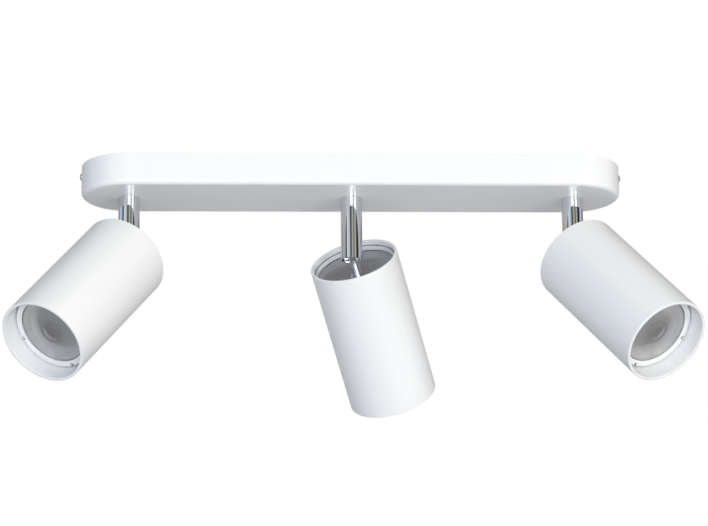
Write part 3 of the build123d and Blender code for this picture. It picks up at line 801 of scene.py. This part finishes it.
class BARLIGHT_OT_stage(bpy.types.Operator):
    """Set the floor, lights, world and camera"""

    bl_idname = "bar_light.stage"
    bl_label = "Stage"

    def execute(self, context):
        colours = context.scene.bar_light_colours
        clear_selection()
        bpy.ops.mesh.primitive_plane_add(size=30, location=(0, 0, -FLOOR_DROP))
        floor = context.object
        floor.name = "studio_floor"
        material, tree, shader = new_material("studio_floor_paint", Base_Color=srgb(colours.floor))
        tree.links.new(mottle(tree, object_place(tree), 0.2, 0.55, 0.65), shader.inputs["Roughness"])
        floor.data.materials.append(material)
        self.world(context)
        self.lights(context)
        self.camera(context)
        return {"FINISHED"}

    def world(self, context):
        """White where the camera sees past the floor, and lit walls for light and reflections."""
        world = bpy.data.worlds.new("studio")
        context.scene.world = world
        world.use_nodes = True
        tree = world.node_tree
        tree.nodes.clear()
        place = add_node(tree, "ShaderNodeTexCoord").outputs["Generated"]
        axes = add_node(tree, "ShaderNodeSeparateXYZ", Vector=place).outputs
        near = add_node(tree, "ShaderNodeMath", {"operation": "MULTIPLY"}, i0=axes["Y"], i1=-1.0)
        turn = add_node(
            tree, "ShaderNodeMath", {"operation": "ARCTAN2"}, i0=axes["X"], i1=near.outputs["Value"],
        )
        share = add_node(
            tree, "ShaderNodeMapRange", Value=turn.outputs["Value"], From_Min=-math.pi,
            From_Max=math.pi,
        ).outputs["Result"]
        rise = add_node(tree, "ShaderNodeMath", {"operation": "ARCSINE"}, i0=axes["Z"]).outputs["Value"]
        upper, above = (
            add_node(tree, "ShaderNodeMapRange", Value=rise, From_Min=low, From_Max=high)
            for low, high in (LOW_TO_HIGH, HIGH_TO_TOP)
        )
        wall = add_node(
            tree, "ShaderNodeMix", {"data_type": "RGBA"}, i0=upper.outputs["Result"],
            i6=wall_ramp(tree, share, STUDIO_LOW), i7=wall_ramp(tree, share, STUDIO_HIGH),
        )
        room = add_node(
            tree, "ShaderNodeMix", {"data_type": "RGBA"}, i0=above.outputs["Result"],
            i6=wall.outputs[2], i7=srgb(STUDIO_TOP),
        )
        lit = add_node(tree, "ShaderNodeBackground", Color=room.outputs[2], Strength=STUDIO_STRENGTH)
        plain = add_node(tree, "ShaderNodeBackground", Color=(1, 1, 1, 1), Strength=1.0)
        seen = add_node(tree, "ShaderNodeLightPath").outputs["Is Camera Ray"]
        both = add_node(
            tree, "ShaderNodeMixShader", i0=seen, i1=lit.outputs["Background"],
            i2=plain.outputs["Background"],
        )
        add_node(tree, "ShaderNodeOutputWorld", Surface=both.outputs["Shader"])

    def lights(self, context):
        """Low softboxes on the camera's side, which light what faces down and forwards."""
        for name, turn, rise, hex_value, energy, width in SOFTBOXES:
            data = bpy.data.lights.new(name, "AREA")
            data.shape = "RECTANGLE"
            data.size, data.size_y = width, width * SOFTBOX_SHAPE
            data.energy = energy
            data.color = srgb(hex_value)[:3]
            lamp = bpy.data.objects.new(name, data)
            around, above = math.radians(turn), math.radians(rise)
            level = math.cos(above)
            out = Vector((level * math.sin(around), -level * math.cos(around), math.sin(above)))
            lamp.location = OBJECT_MIDDLE + SOFTBOX_REACH * out
            lamp.rotation_euler = (-out).to_track_quat("-Z", "Y").to_euler()
            lamp.visible_camera = False
            context.scene.collection.objects.link(lamp)

    def camera(self, context):
        yaw, pitch, roll = (math.radians(a) for a in (CAMERA_YAW, CAMERA_PITCH, CAMERA_ROLL))
        level = math.cos(pitch)
        ahead = Vector((math.sin(yaw) * level, math.cos(yaw) * level, math.sin(pitch)))
        right = Vector((math.cos(yaw), -math.sin(yaw), 0))
        up = right.cross(ahead)
        across = right * math.cos(roll) + up * math.sin(roll)
        upright = up * math.cos(roll) - right * math.sin(roll)
        data = bpy.data.cameras.new("camera")
        data.lens = CAMERA_LENS
        camera = bpy.data.objects.new("camera", data)
        turn = Matrix((across, upright, -ahead)).transposed().to_4x4()
        camera.matrix_world = Matrix.Translation(CAMERA_PLACE) @ turn
        context.scene.collection.objects.link(camera)
        context.scene.camera = camera


class BARLIGHT_PT_panel(bpy.types.Panel):
    """The bar light's pieces, in the order they are made"""

    bl_idname = "BARLIGHT_PT_panel"
    bl_label = "Bar Light"
    bl_space_type = "VIEW_3D"
    bl_region_type = "UI"
    bl_category = "Bar Light"

    def draw(self, context):
        for operator in OPERATORS:
            self.layout.operator(operator.bl_idname)
        for group in (context.scene.bar_light_sizes, context.scene.bar_light_colours):
            column = self.layout.column()
            for name in group.__annotations__:
                column.prop(group, name)


OPERATORS = (
    BARLIGHT_OT_finishes,
    BARLIGHT_OT_canopy,
    BARLIGHT_OT_heads,
    BARLIGHT_OT_back_plates,
    BARLIGHT_OT_lenses,
    BARLIGHT_OT_bezels,
    BARLIGHT_OT_stage,
)
CLASSES = (BarLightSizes, BarLightColours, *OPERATORS, BARLIGHT_PT_panel)


def register():
    for item in CLASSES:
        bpy.utils.register_class(item)
    bpy.types.Scene.bar_light_sizes = PointerProperty(type=BarLightSizes)
    bpy.types.Scene.bar_light_colours = PointerProperty(type=BarLightColours)


def unregister():
    del bpy.types.Scene.bar_light_colours
    del bpy.types.Scene.bar_light_sizes
    for item in reversed(CLASSES):
        bpy.utils.unregister_class(item)


def main():
    register()
    bpy.context.scene.view_settings.view_transform = "Standard"
    for operator in OPERATORS:
        group, name = operator.bl_idname.split(".")
        getattr(getattr(bpy.ops, group), name)()


if __name__ == "__main__":
    main()
